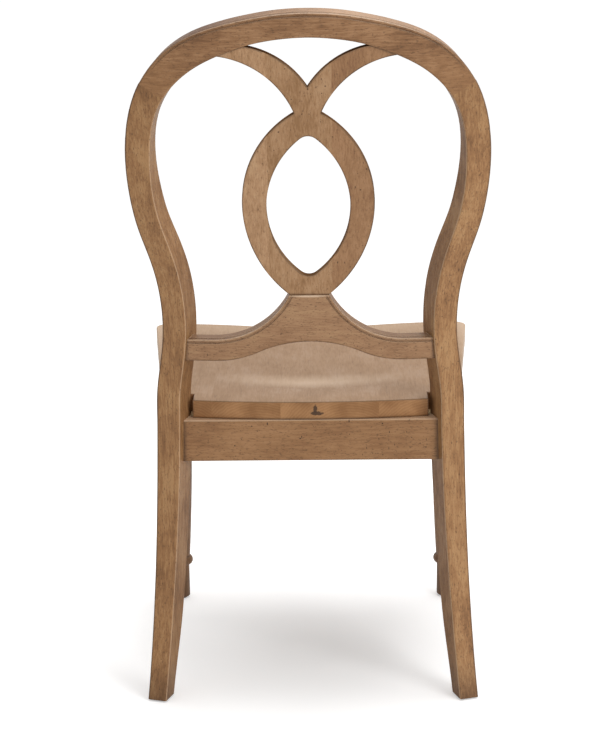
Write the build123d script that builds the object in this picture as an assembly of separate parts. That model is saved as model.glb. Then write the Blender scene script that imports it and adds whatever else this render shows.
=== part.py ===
from build123d import *
from math import atan2, copysign, cos, degrees, hypot, radians, sin, tan
import os

# A wooden dining side chair with a hooped back, a pierced splat and a scooped plank seat.
# Millimetres. The sitter faces -Y, so +X is the sitter's left. Z is up from the floor.

# Back frame seen square on: its centreline runs from the middle of the crest out to the shoulder,
# in to the waist and down to the foot. Each pair is an arc's radius and its turn, inwards positive.
HOOP_TOP = 990.5
HOOP_ARCS = ((373.0, 23.0), (145.0, 58.5), (340.0, 28.5), (345.0, -31.0), (325.0, 10.0))
LEG_SPLAY_RADIUS = 5800.0
CREST_HALF = 240.0

# Back frame seen from the side: upright at the seat, leaning back above it, swept back below it.
RAKE = 12.0
RAKE_START = 400.0
RAKE_FULL = 650.0
KICK_START = 380.0
KICK_RADIUS = 1415.0

# Back frame seen from above: bowed backwards in the middle, with its posts turned towards the sitter.
BOW = 12.0
BOW_HALF = 230.0
TURN_LEG = 18.0
TURN_SHOULDER = 10.0
TURN_LEG_HEIGHT = 740.0
TURN_SHOULDER_HEIGHT = 850.0
TURN_REACH = 190.0

# Section of the back frame: pairs of the distance along the centreline and the size there.
FRAME_WIDTHS = ((0.0, 34.0), (60.0, 34.5), (175.0, 42.0), (300.0, 36.0), (750.0, 36.0), (1160.0, 29.0))
FRAME_DEPTHS = ((0.0, 30.0), (320.0, 33.0), (560.0, 46.0), (750.0, 48.0), (1000.0, 44.0), (1160.0, 31.0))
FRAME_EASE = 2.5
JOINT_OVERRUN = 60.0
CREST_SECTIONS = 21
POST_SECTIONS = 25

# Bead run along the top rear edges of the crest and of the lower rail, between two fine quirks.
BEAD_WIDTH = 6.0
BEAD_DROP = 4.4
QUIRK = 0.9
QUIRK_RUN_OUT = 40.0

# Lower back rail, in its own leaning plane.
RAIL_BASE = 509.0
RAIL_TILT = 7.5
RAIL_THICKNESS = 24.0
RAIL_INSET = 8.0
RAIL_END_HEIGHT = 31.5
RAIL_NECK_HEIGHT = 99.5
RAIL_NECK_HALF = 29.0
RAIL_FLARE_START = 138.0
RAIL_ARCH_RISE = 30.0
RAIL_ARCH_HALF = 135.0
RAIL_ARCH_CROWN = 0.55

# Splat: an oval ring with two curved arms, cut from three staves. Its outline is drawn up from the rail
# for one rise to the crest, and grows or shrinks with the rise that the frame gives it.
SPLAT_DRAWN_RISE = 375.0
SPLAT_THICKNESS = 11.0
SPLAT_INSET_LOW = 2.0
SPLAT_INSET_HIGH = 6.0
OVAL_CENTRE = 139.0
OVAL_HALF_WIDTH = 92.5
OVAL_UPPER_RADIUS = 150.0
OVAL_LOWER_RADIUS = 180.5
HOLE_CENTRE = 132.5
HOLE_HALF_WIDTH = 58.5
HOLE_HALF_HEIGHT = 103.5
HOLE_SIDE_RADIUS = 128.0
ARM_START = 245.0
ARM_REACH = 134.0
ARM_TOP_CENTRE = (108.5, 236.0)
ARM_TOP_RADIUS = 128.5
ARM_UNDER_CENTRE = (141.0, 218.0)
ARM_UNDER_RADIUS = 132.5
SPLAT_JOINTS = (56.0, -33.0)

# Seat: five boards glued edge to edge and scooped, sloping down to the back.
SEAT_REAR_HEIGHT = 416.0
SEAT_TILT = 3.7
SEAT_THICKNESS = 27.0
SEAT_DEPTH = 424.0
SEAT_FRONT_HALF = 258.0
SEAT_REAR_HALF = 219.5
SEAT_REAR_BOW = 13.0
SEAT_POST_GAP = 3.0
SEAT_CORNER = 16.0
SEAT_EASE = 2.5
SEAT_JOINTS = (145.0, 44.0, -100.0, -178.0)
DISH_DEPTH = 13.0
DISH_HALF = 215.0
DISH_REAR = 12.0
DISH_DEEPEST = 150.0
DISH_FRONT_SHARE = 0.62
DISH_POINTS = 33

# Aprons under the seat.
APRON_HEIGHT = 62.0
APRON_THICKNESS = 22.0
APRON_EASE = 1.5
REAR_APRON_INSET = 15.0
FRONT_APRON_INSET = 6.0
SIDE_APRON_INSET = 11.0
SIDE_APRON_DEPTH_SHARE = 0.7

# Turned front legs with a square head.
FRONT_LEG_INSET = 33.0
FRONT_LEG_SETBACK = 32.5
LEG_HEAD = 48.0
LEG_HEAD_BOTTOM = 352.0
LEG_THIGH_RADIUS = 24.0
LEG_SWELL = 2.0
LEG_ANKLE_RADIUS = 16.0
LEG_FOOT_RADIUS = 14.5
LEG_FOOT_CHAMFER = 1.8
LEG_RING_HEIGHT = 67.0
LEG_RING_HALF = 8.0
LEG_RING_PROUD = 5.5
LEG_NECK_RADIUS = 19.5
LEG_COVE = 9.0
LEG_BEAD_HEIGHT = 340.0
LEG_BEAD_HALF = 7.0
LEG_BEAD_PROUD = 4.5
LEG_HEAD_CHAMFER = 3.0

# Corner blocks and their screws.
BLOCK_LEG = 75.0
BLOCK_TIP = 8.0
BLOCK_HEIGHT = 25.0
SCREW_PLACE = 48.0
SEAT_SCREW_PLACE = 27.0
SCREW_LENGTH = 30.0
SCREW_BITE = 14.0
SCREW_SHANK = 4.0
SCREW_HEAD = 8.0
SCREW_HEAD_HEIGHT = 2.8
SCREW_CROSS_LENGTH = 4.8
SCREW_CROSS_WIDTH = 1.0
SCREW_POINT = 5.0
SCREW_TIP_RADIUS = 0.5
COUNTERBORE = 9.5

# Dowels of the glued joints, by diameter and length.
LONG_DOWEL = (8.0, 36.0)
SHORT_DOWEL = (8.0, 30.0)
SPLAT_DOWEL = (6.0, 24.0)
DOWEL_CHAMFER = 0.8
DOWEL_END_ROOM = 1.0
DOWEL_SPREAD = 9.0
RAIL_DOWEL_SPREAD = 7.0
APRON_DOWEL_DROPS = (17.0, 45.0)
SPLAT_DOWEL_X = 14.0
ARM_DOWEL_PLACE = 101.0

# Tack-in glides that the feet stand on.
GLIDE_RADIUS = 9.0
GLIDE_HEIGHT = 2.5
GLIDE_PIN_RADIUS = 2.5
GLIDE_PIN_LENGTH = 14.0

STANDING = (Align.CENTER, Align.CENTER, Align.MIN)
HANGING = (Align.CENTER, Align.CENTER, Align.MAX)


def ease(share):
    """Smooth step from nothing to one."""
    share = min(max(share, 0.0), 1.0)
    return share * share * (3 - 2 * share)


def along(table, place):
    """Size at a place along the frame, eased between the places where it is set."""
    place = abs(place)
    for (start, first), (end, last) in zip(table, table[1:]):
        if place <= end:
            return first + (last - first) * ease((place - start) / (end - start))
    return table[-1][1]


def hoop_at(place):
    """X and height of the frame's centreline, a distance along it from the middle of the crest."""
    x, z, heading, left = 0.0, HOOP_TOP, 0.0, abs(place)
    for radius, turn in HOOP_ARCS + ((LEG_SPLAY_RADIUS, -90.0),):
        length = min(left, radius * radians(abs(turn)))
        bend = copysign(1 / radius, turn)
        swung = heading + bend * length
        x += (sin(swung) - sin(heading)) / bend
        z += (cos(swung) - cos(heading)) / bend
        heading, left = swung, left - length
    return copysign(x, place), z


def lean(z):
    """How far the frame's rear face stands behind its place at the seat."""
    bend = RAKE_FULL - RAKE_START
    bent = min(max(z - RAKE_START, 0.0), bend)
    straight = max(z - RAKE_FULL, 0.0)
    kick = max(KICK_START - z, 0.0)
    return tan(radians(RAKE)) * (bent ** 2 / (2 * bend) + straight) + kick ** 2 / (2 * KICK_RADIUS)


def bow(x):
    """How far the middle's bow carries the rear face back at a distance from the middle."""
    return BOW * (1 - (x / BOW_HALF) ** 2)


def frame_point(place):
    x, z = hoop_at(place)
    return Vector(x, lean(z) + bow(x), z)


def frame_plane(place):
    """Plane across the frame: X points outwards, Y from the rear face to the front one."""
    x, z = hoop_at(place)
    low_share = ease((TURN_SHOULDER_HEIGHT - z) / (TURN_SHOULDER_HEIGHT - TURN_LEG_HEIGHT))
    full_turn = TURN_SHOULDER + (TURN_LEG - TURN_SHOULDER) * low_share
    turn = radians(full_turn) * ease(abs(x) / TURN_REACH)
    slope = (lean(z + 1) - lean(z - 1)) / 2
    inward = Vector(-copysign(sin(turn), x), -cos(turn), slope)
    tangent = frame_point(place + 1) - frame_point(place - 1)
    return Plane(frame_point(place), x_dir=inward.cross(tangent), z_dir=tangent)


def place_at_height(height):
    """Distance along the centreline where a post passes a height."""
    near, far = CREST_HALF, 2 * HOOP_TOP
    for _ in range(50):
        middle = (near + far) / 2
        if hoop_at(middle)[1] > height:
            near = middle
        else:
            far = middle
    return near


def frame_edge(height, outward, depth_share):
    """Point on the left post's section: outward -1 is its inner side, depth 0 its rear face."""
    place = place_at_height(height)
    across = outward * along(FRAME_WIDTHS, place) / 2
    depth = depth_share * along(FRAME_DEPTHS, place)
    return frame_plane(place).from_local_coords(Vector(across, depth, 0))


def frame_run(start, end, count):
    """Loft of the frame's rounded section between two places on the centreline."""
    sections = []
    for step in range(count):
        place = start + (end - start) * step / (count - 1)
        width, depth = along(FRAME_WIDTHS, place), along(FRAME_DEPTHS, place)
        section = RectangleRounded(width, depth, FRAME_EASE)
        sections.append(frame_plane(place) * Pos(0, depth / 2) * section)
    return loft(sections)


def crest_quirk(on_top):
    """Fine groove beside the crest's bead, on its top or on its rear face, fading out at the ends."""
    sections = []
    for step in range(CREST_SECTIONS):
        place = CREST_HALF * (2 * step / (CREST_SECTIONS - 1) - 1)
        edge = along(FRAME_WIDTHS, place) / 2
        out = 2 * QUIRK * ease((abs(place) - CREST_HALF + QUIRK_RUN_OUT) / QUIRK_RUN_OUT)
        spot = Pos(edge + out, BEAD_WIDTH) if on_top else Pos(edge - BEAD_DROP, -out)
        sections.append(frame_plane(place) * spot * Circle(QUIRK))
    return loft(sections)


def make_crest():
    """Crest cut from a longer run, so that its outline flows on into the posts."""
    reach = CREST_HALF + JOINT_OVERRUN
    crest = frame_run(-reach, reach, CREST_SECTIONS)
    crest = split(crest, frame_plane(CREST_HALF), keep=Keep.BOTTOM)
    crest = split(crest, frame_plane(-CREST_HALF), keep=Keep.TOP)
    return crest - crest_quirk(True) - crest_quirk(False)


def make_post():
    """Left rear post, crest joint to foot, cut level where its glide goes."""
    post = frame_run(CREST_HALF - JOINT_OVERRUN, place_at_height(-LEG_HEAD), POST_SECTIONS)
    post = split(post, frame_plane(CREST_HALF), keep=Keep.TOP)
    return split(post, Plane.XY.offset(GLIDE_HEIGHT), keep=Keep.TOP)


def mirrored(shape):
    return mirror(shape, about=Plane.YZ)


# The lower rail's leaning plane, tied to the posts where the rail's ends meet them.
BOW_RADIUS = (BOW_HALF ** 2 + BOW ** 2) / (2 * BOW)
RAIL_POST_EDGE = frame_edge(RAIL_BASE + RAIL_END_HEIGHT / 2, -1, 0)
RAIL_Y = RAIL_POST_EDGE.Y - RAIL_INSET + RAIL_POST_EDGE.X ** 2 / (2 * BOW_RADIUS)
RAIL_FRAME = Location((0, RAIL_Y, RAIL_BASE), (-RAIL_TILT, 0, 0))
RAIL_REACH = RAIL_POST_EDGE.X + along(FRAME_WIDTHS, CREST_HALF) / 3
FLARE_RUN = RAIL_FLARE_START - RAIL_NECK_HALF
FLARE_RISE = RAIL_NECK_HEIGHT - RAIL_END_HEIGHT
FLARE_RADIUS = (FLARE_RUN ** 2 + FLARE_RISE ** 2) / (2 * FLARE_RISE)
RAIL_FACE = Plane((0, 0, 0), x_dir=(1, 0, 0), z_dir=(0, -1, 0))


def bowed_slab(start, thickness):
    """Tall slab bowed like the back, from a depth behind its rear face, in the rail's plane."""
    sag = RAIL_REACH ** 2 / (2 * BOW_RADIUS)
    rear = ThreePointArc((-RAIL_REACH, -sag - start), (0, -start), (RAIL_REACH, -sag - start))
    front = Pos(0, -thickness) * rear
    ends = [Line(rear @ share, front @ share) for share in (0, 1)]
    return extrude(make_face([rear, front] + ends), RAIL_NECK_HEIGHT * 2, both=True)


def rail_outline():
    """Right half of the rail's elevation, mirrored: an arched underside and a flared top."""
    turn_point = (RAIL_ARCH_CROWN * RAIL_ARCH_HALF, (1 - RAIL_ARCH_CROWN) * RAIL_ARCH_RISE)
    crown, arch_end = (0, RAIL_ARCH_RISE), (RAIL_ARCH_HALF, 0)
    flare_start, neck = (RAIL_FLARE_START, RAIL_END_HEIGHT), (RAIL_NECK_HALF, RAIL_NECK_HEIGHT)
    edges = [TangentArc(crown, turn_point, tangent=(1, 0)),
             TangentArc(arch_end, turn_point, tangent=(-1, 0)),
             Polyline(arch_end, (RAIL_REACH, 0), (RAIL_REACH, RAIL_END_HEIGHT), flare_start),
             TangentArc(flare_start, neck, tangent=(-1, 0)),
             Polyline(neck, (0, RAIL_NECK_HEIGHT), crown)]
    half = make_face(edges)
    return half + mirror(half, about=Plane.YZ)


def rail_quirk(drop, width, start, thickness):
    """Groove that follows the rail's top edge at a drop below it, cut at a depth from its rear."""
    centre = (RAIL_FLARE_START, RAIL_END_HEIGHT + FLARE_RADIUS)
    sweep = degrees(atan2(FLARE_RUN, FLARE_RADIUS - FLARE_RISE))
    flat = Line((RAIL_REACH, RAIL_END_HEIGHT - drop), (RAIL_FLARE_START, RAIL_END_HEIGHT - drop))
    flare = CenterArc(centre, FLARE_RADIUS + drop, -90, -sweep)
    band = trace(flat + flare, line_width=width)
    band = RAIL_FACE * (band + mirror(band, about=Plane.YZ))
    return extrude(band, RAIL_THICKNESS * 2, both=True) & bowed_slab(start, thickness)


def make_rail():
    rail = extrude(RAIL_FACE * rail_outline(), RAIL_THICKNESS * 2, both=True)
    rail &= bowed_slab(0, RAIL_THICKNESS)
    rail -= rail_quirk(0, 2 * QUIRK, BEAD_WIDTH, 2 * QUIRK)
    rail -= rail_quirk(BEAD_DROP, 2 * QUIRK, -QUIRK, 2 * QUIRK)
    return RAIL_FRAME * rail


# The splat's flat plane, from the rail's top to the crest's underside.
SPLAT_FOOT = RAIL_FRAME * Pos(0, -SPLAT_INSET_LOW, RAIL_NECK_HEIGHT)
SPLAT_TOP = frame_plane(0).from_local_coords(Vector(-along(FRAME_WIDTHS, 0) / 2, SPLAT_INSET_HIGH, 0))
SPLAT_RISE = SPLAT_TOP - SPLAT_FOOT.position
SPLAT_LEAN = degrees(atan2(SPLAT_RISE.Y, SPLAT_RISE.Z))
SPLAT_FRAME = Location(SPLAT_FOOT.position, (-SPLAT_LEAN, 0, 0))
SPLAT_SCALE = SPLAT_RISE.length / SPLAT_DRAWN_RISE


def lens(half_width, radius):
    """Upright pointed oval where two circles overlap."""
    offset = radius - half_width
    return (Pos(offset) * Circle(radius)) & (Pos(-offset) * Circle(radius))


def oval(half_width, half_height, side_radius):
    """Upright oval of two side arcs closed by two smaller end arcs tangent to them."""
    side_centre = side_radius - half_width
    spare = side_radius - half_height
    end_centre = (side_centre ** 2 - spare ** 2) / (2 * spare)
    end_radius = half_height - end_centre
    reach = hypot(side_centre, end_centre)
    meet_x = end_radius * side_centre / reach
    meet_y = end_centre * (1 + end_radius / reach)
    edges = []
    for sign in (1, -1):
        side_x, end_y = sign * meet_x, sign * meet_y
        edges.append(ThreePointArc((side_x, -meet_y), (sign * half_width, 0), (side_x, meet_y)))
        edges.append(ThreePointArc((-meet_x, end_y), (0, sign * half_height), (meet_x, end_y)))
    return make_face(edges)


def splat_ring():
    """Ring's outer outline, rounder above its widest place than below it."""
    half_plane = Rectangle(2 * OVAL_HALF_WIDTH, 2 * HOOP_TOP, align=STANDING[1:])
    upper = lens(OVAL_HALF_WIDTH, OVAL_UPPER_RADIUS) & half_plane
    lower = lens(OVAL_HALF_WIDTH, OVAL_LOWER_RADIUS) - half_plane
    return Pos(0, OVAL_CENTRE) * (upper + lower)


def splat_arm():
    """Curved arm on the left, from the ring's top into the crest."""
    top, under = Circle(ARM_TOP_RADIUS), Circle(ARM_UNDER_RADIUS)
    arm = Pos(*ARM_TOP_CENTRE) * top - Pos(*ARM_UNDER_CENTRE) * under
    high = SPLAT_DRAWN_RISE + along(FRAME_WIDTHS, 0) / 4
    return arm & Pos(0, (ARM_START + high) / 2) * Rectangle(2 * ARM_REACH, high - ARM_START)


def make_splat(crest):
    """Splat before its staves are told apart, fitted under the crest and onto the rail's neck."""
    arm = splat_arm()
    face = splat_ring() + arm + mirror(arm, about=Plane.YZ)
    face -= Pos(0, HOLE_CENTRE) * oval(HOLE_HALF_WIDTH, HOLE_HALF_HEIGHT, HOLE_SIDE_RADIUS)
    splat = SPLAT_FRAME * extrude(RAIL_FACE * scale(face, SPLAT_SCALE), SPLAT_THICKNESS)
    return split(splat, Plane(SPLAT_FOOT), keep=Keep.TOP) - crest


def sliced(shape, joints):
    """Slices of a shape between upright joints across the chair, from its left to its right."""
    reach = 2 * HOOP_TOP
    limits = (reach,) + joints + (-reach,)
    slices = []
    for high, low in zip(limits, limits[1:]):
        slices.append(shape & Pos((high + low) / 2) * Box(high - low, reach, reach))
    return slices


def splat_staves(splat):
    """Each stave's lower and upper piece by name, with the hole and the notches between them."""
    names = (("left_splat_side", "left_splat_arm"), ("splat_base", "splat_neck"),
             ("right_splat_side", "right_splat_arm"))
    staves = {}
    joints = tuple(joint * SPLAT_SCALE for joint in SPLAT_JOINTS)
    for pair, stave in zip(names, sliced(splat, joints)):
        largest = stave.solids().sort_by(SortBy.VOLUME)[-2:]
        staves.update(zip(pair, largest.sort_by(Axis.Z)))
    return staves


# The seat's plane: its origin is on the underside, at the middle of the rear edge.
APRON_POST_EDGE = frame_edge(SEAT_REAR_HEIGHT - APRON_HEIGHT / 2, -1, 0)
APRON_REAR_Y = APRON_POST_EDGE.Y - REAR_APRON_INSET
SEAT_FRAME = Location((0, APRON_REAR_Y, SEAT_REAR_HEIGHT), (-SEAT_TILT, 0, 0))
SEAT_FRONT_Y = APRON_REAR_Y - SEAT_DEPTH * cos(radians(SEAT_TILT))
SEAT_MIDDLE_HEIGHT = SEAT_REAR_HEIGHT + SEAT_THICKNESS / 2
TONGUE_HALF = frame_edge(SEAT_MIDDLE_HEIGHT, -1, 1).X - SEAT_POST_GAP
NOTCH_Y = frame_edge(SEAT_MIDDLE_HEIGHT, 1, 1).Y - SEAT_POST_GAP - APRON_REAR_Y
SIDE_SLOPE = (SEAT_FRONT_HALF - SEAT_REAR_HALF) / (SEAT_DEPTH + NOTCH_Y)
SIDE_ANGLE = atan2(SIDE_SLOPE, 1)
FRONT_LEG_X = SEAT_FRONT_HALF - FRONT_LEG_INSET
FRONT_LEG_Y = SEAT_FRONT_Y + FRONT_LEG_SETBACK
FRONT_APRON_REAR_Y = FRONT_LEG_Y - LEG_HEAD / 2 + FRONT_APRON_INSET + APRON_THICKNESS


def seat_outline():
    """Plan of the seat: a bowed tongue between the posts and straight tapered sides."""
    rear = ThreePointArc((-TONGUE_HALF, -SEAT_REAR_BOW), (0, 0), (TONGUE_HALF, -SEAT_REAR_BOW))
    half = [(TONGUE_HALF, -SEAT_REAR_BOW), (TONGUE_HALF, NOTCH_Y), (SEAT_REAR_HALF, NOTCH_Y),
            (SEAT_FRONT_HALF, -SEAT_DEPTH)]
    rest = Polyline(*half, *[(-x, y) for x, y in reversed(half)])
    outline = make_face([rear, rest])
    return fillet(outline.vertices().group_by(Axis.Y)[0], SEAT_CORNER)


def seat_top(x, y):
    """Height of the scooped top above the seat's underside."""
    across = ease(1 - abs(x) / DISH_HALF)
    rear = ease((-y - DISH_REAR) / (DISH_DEEPEST - DISH_REAR))
    front = 1 - (1 - DISH_FRONT_SHARE) * ease((-y - DISH_DEEPEST) / (SEAT_DEPTH - DISH_DEEPEST))
    return SEAT_THICKNESS - DISH_DEPTH * across * rear * front


def make_seat():
    """Seat in one piece, before its boards are told apart."""
    margin = SEAT_CORNER
    width, depth = 2 * (SEAT_FRONT_HALF + margin), SEAT_DEPTH + 2 * margin
    grid = []
    for row in range(DISH_POINTS):
        y = margin - depth * row / (DISH_POINTS - 1)
        line = [width * (step / (DISH_POINTS - 1) - 0.5) for step in range(DISH_POINTS)]
        grid.append([Vector(x, y, seat_top(x, y)) for x in line])
    scoop = extrude(Face.make_surface_from_array_of_points(grid), 2 * SEAT_THICKNESS, dir=(0, 0, 1))
    seat = extrude(seat_outline(), 2 * SEAT_THICKNESS) - scoop
    rim = seat.faces().sort_by(Axis.Z)[-1].edges()
    return SEAT_FRAME * fillet(rim, SEAT_EASE)


def under_seat(plan, height):
    """Upright piece of a plan outline, from the seat's underside down by a height."""
    prism = extrude(Pos(0, 0, SEAT_REAR_HEIGHT) * plan, 3 * APRON_HEIGHT, both=True)
    slab = Box(4 * SEAT_FRONT_HALF, 4 * SEAT_DEPTH, height)
    return prism & SEAT_FRAME * Pos(0, 0, -height / 2) * slab


def under_seat_z(y):
    return SEAT_REAR_HEIGHT + (APRON_REAR_Y - y) * tan(radians(SEAT_TILT))


def side_face(y, depth):
    """Point on the left side apron, a depth in from its outer face."""
    edge = SEAT_FRONT_HALF - SIDE_SLOPE * (y - SEAT_FRONT_Y)
    return Vector(edge - SIDE_APRON_INSET - depth / cos(SIDE_ANGLE), y)


def cross_apron(half_length, rear_y):
    """Straight apron across the chair with eased long edges."""
    plan = Pos(0, rear_y - APRON_THICKNESS / 2) * Rectangle(2 * half_length, APRON_THICKNESS)
    apron = under_seat(plan, APRON_HEIGHT)
    return fillet(apron.edges().filter_by(Axis.X), APRON_EASE)


def side_apron():
    """Left side apron, run on into the post and the front leg that it is then fitted to."""
    rear_y = frame_edge(SEAT_REAR_HEIGHT - APRON_HEIGHT / 2, 0, SIDE_APRON_DEPTH_SHARE).Y
    corners = [side_face(y, depth) for y, depth in ((rear_y, 0), (rear_y, APRON_THICKNESS),
               (FRONT_LEG_Y, APRON_THICKNESS), (FRONT_LEG_Y, 0))]
    return under_seat(make_face(Polyline(*corners, close=True)), APRON_HEIGHT)


def front_leg():
    """Left front leg: a turned shaft with an ankle ring and a top bead, below a square head."""
    ring_low, ring_high = LEG_RING_HEIGHT - LEG_RING_HALF, LEG_RING_HEIGHT + LEG_RING_HALF
    bead_low, bead_high = LEG_BEAD_HEIGHT - LEG_BEAD_HALF, LEG_BEAD_HEIGHT + LEG_BEAD_HALF
    ring_peak = ((LEG_FOOT_RADIUS + LEG_ANKLE_RADIUS) / 2 + LEG_RING_PROUD, LEG_RING_HEIGHT)
    cove_start = (LEG_THIGH_RADIUS, bead_low - LEG_COVE)
    bead_peak = (LEG_NECK_RADIUS + LEG_BEAD_PROUD, LEG_BEAD_HEIGHT)
    bead_top, bead_foot = (LEG_NECK_RADIUS, bead_high), (LEG_NECK_RADIUS, bead_low)
    ring_top, ring_foot = (LEG_ANKLE_RADIUS, ring_high), (LEG_FOOT_RADIUS, ring_low)
    swell = ((LEG_THIGH_RADIUS + LEG_ANKLE_RADIUS) / 2 + LEG_SWELL, (cove_start[1] + ring_high) / 2)
    edges = [Polyline(ring_foot, (LEG_FOOT_RADIUS, GLIDE_HEIGHT + LEG_FOOT_CHAMFER),
                      (LEG_FOOT_RADIUS - LEG_FOOT_CHAMFER, GLIDE_HEIGHT), (0, GLIDE_HEIGHT),
                      (0, LEG_HEAD_BOTTOM), (LEG_NECK_RADIUS, LEG_HEAD_BOTTOM), bead_top),
             ThreePointArc(bead_top, bead_peak, bead_foot),
             TangentArc(bead_foot, cove_start, tangent=(0, -1)),
             ThreePointArc(cove_start, swell, ring_top),
             ThreePointArc(ring_top, ring_peak, ring_foot)]
    shaft = revolve(RAIL_FACE * make_face(edges), Axis.Z)
    head = Pos(0, 0, LEG_HEAD_BOTTOM + APRON_HEIGHT) * Box(LEG_HEAD, LEG_HEAD, 2 * APRON_HEIGHT)
    head = chamfer(head.faces().sort_by(Axis.Z)[0].edges(), LEG_HEAD_CHAMFER)
    leg = Pos(FRONT_LEG_X, FRONT_LEG_Y) * (shaft + head)
    return split(leg, Plane(SEAT_FRAME), keep=Keep.BOTTOM)


def corner_block(corner, inward, lengthwise):
    """Brace in a corner of the aprons, its two legs along them and its tips cut off."""
    cross_end, long_end = corner + inward * BLOCK_LEG, corner + lengthwise * BLOCK_LEG
    ends = [corner, cross_end, cross_end + lengthwise * BLOCK_TIP,
            long_end + inward * BLOCK_TIP, long_end]
    return under_seat(make_face(Polyline(*ends, close=True)), BLOCK_HEIGHT)


def wood_screw():
    """Pan head screw driven along +Z, with its origin under the head."""
    straight = SCREW_LENGTH - SCREW_POINT
    screw = Cylinder(SCREW_SHANK / 2, straight, align=STANDING)
    screw += Pos(0, 0, straight) * Cone(SCREW_SHANK / 2, SCREW_TIP_RADIUS, SCREW_POINT, align=STANDING)
    head = Cylinder(SCREW_HEAD / 2, SCREW_HEAD_HEIGHT, align=HANGING)
    blade = Box(SCREW_CROSS_LENGTH, SCREW_CROSS_WIDTH, SCREW_HEAD_HEIGHT)
    for angle in (0, 90):
        head -= Pos(0, 0, -SCREW_HEAD_HEIGHT) * Rot(Z=angle) * blade
    return screw + head


def counterbore():
    return Cylinder(COUNTERBORE / 2, BLOCK_LEG, align=HANGING)


def block_screw_planes(corner, inward, lengthwise):
    """Places of a block's two apron screws and its seat screw, driven along each plane's Z."""
    planes = []
    sunk = SCREW_LENGTH - SCREW_BITE
    for leg, other in ((inward, lengthwise), (lengthwise, inward)):
        drive = (leg * leg.dot(other) - other).normalized()
        head = corner + leg * SCREW_PLACE - drive * sunk
        level = under_seat_z(head.Y) - BLOCK_HEIGHT / 2
        planes.append(Plane((head.X, head.Y, level), x_dir=leg, z_dir=drive))
    spot = corner + (inward + lengthwise) * SEAT_SCREW_PLACE
    up = Plane(SEAT_FRAME).z_dir
    head = Vector(spot.X, spot.Y, under_seat_z(spot.Y)) - up * sunk
    planes.append(Plane(head, x_dir=(1, 0, 0), z_dir=up))
    return planes


def dowel(plane, size):
    """Chamfered dowel centred on a plane's origin along its Z, and the hole that it is glued in."""
    diameter, length = size
    pin = chamfer(Cylinder(diameter / 2, length).edges().filter_by(GeomType.CIRCLE), DOWEL_CHAMFER)
    return plane * pin, plane * Cylinder(diameter / 2, length + 2 * DOWEL_END_ROOM)


def depth_share(inset, thickness, height):
    """Share of the post's depth at which the middle of an inset board meets it."""
    return (inset + thickness / 2) / along(FRAME_DEPTHS, place_at_height(height))


def dowel_joints():
    """Left-hand dowels: their group, the pieces that they join, their plane and their size."""
    joints = []

    def join(group, pieces, spot, way, size):
        joints.append((group, pieces, Plane(spot, z_dir=way), size))

    across = Vector(1, 0, 0)
    shoulder = frame_plane(CREST_HALF)
    for spread in (DOWEL_SPREAD, -DOWEL_SPREAD):
        spot = shoulder.from_local_coords(Vector(spread, along(FRAME_DEPTHS, CREST_HALF) / 2, 0))
        join("crest_dowels", ("crest_rail", "rear_post"), spot, shoulder.z_dir, LONG_DOWEL)
    rail_height = RAIL_BASE + RAIL_END_HEIGHT / 2
    share = depth_share(RAIL_INSET, RAIL_THICKNESS, rail_height)
    for spread in (RAIL_DOWEL_SPREAD, -RAIL_DOWEL_SPREAD):
        spot = frame_edge(rail_height + spread, -1, share)
        join("back_rail_dowels", ("lower_back_rail", "rear_post"), spot, across, LONG_DOWEL)
    share = depth_share(REAR_APRON_INSET, APRON_THICKNESS, SEAT_REAR_HEIGHT)
    side_way = Vector(sin(SIDE_ANGLE), -cos(SIDE_ANGLE))
    for drop in APRON_DOWEL_DROPS:
        spot = frame_edge(SEAT_REAR_HEIGHT - drop, -1, share)
        join("rear_apron_dowels", ("rear_apron", "rear_post"), spot, across, LONG_DOWEL)
        y = FRONT_APRON_REAR_Y - APRON_THICKNESS / 2
        spot = Vector(FRONT_LEG_X - LEG_HEAD / 2, y, under_seat_z(y) - drop)
        join("front_apron_dowels", ("front_apron", "front_leg"), spot, across, LONG_DOWEL)
        post_y = frame_edge(SEAT_REAR_HEIGHT - drop, 0, 1).Y
        for y, piece in ((post_y, "rear_post"), (FRONT_LEG_Y + LEG_HEAD / 2, "front_leg")):
            spot = side_face(y, APRON_THICKNESS / 2) + Vector(0, 0, under_seat_z(y) - drop)
            join("side_apron_dowels", ("side_apron", piece), spot, side_way, SHORT_DOWEL)
    splat_plane = Plane(SPLAT_FRAME)
    foot = splat_plane.from_local_coords(Vector(SPLAT_DOWEL_X, -SPLAT_THICKNESS / 2, 0))
    join("splat_dowels", ("splat", "lower_back_rail"), foot, splat_plane.z_dir, SPLAT_DOWEL)
    arm_place = ARM_DOWEL_PLACE * SPLAT_SCALE
    crest = frame_plane(arm_place)
    under = crest.from_local_coords(Vector(-along(FRAME_WIDTHS, arm_place) / 2, 0, 0))
    under = splat_plane.to_local_coords(under)
    head = splat_plane.from_local_coords(Vector(under.X, -SPLAT_THICKNESS / 2, under.Z))
    join("splat_dowels", ("splat", "crest_rail"), head, crest.x_dir, SPLAT_DOWEL)
    return joints


def glide():
    """Round glide with a pin that is pressed into the foot."""
    pad = Cylinder(GLIDE_RADIUS, GLIDE_HEIGHT, align=STANDING)
    pin = Cylinder(GLIDE_PIN_RADIUS, GLIDE_PIN_LENGTH, align=STANDING)
    return pad + Pos(0, 0, GLIDE_HEIGHT) * pin


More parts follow.
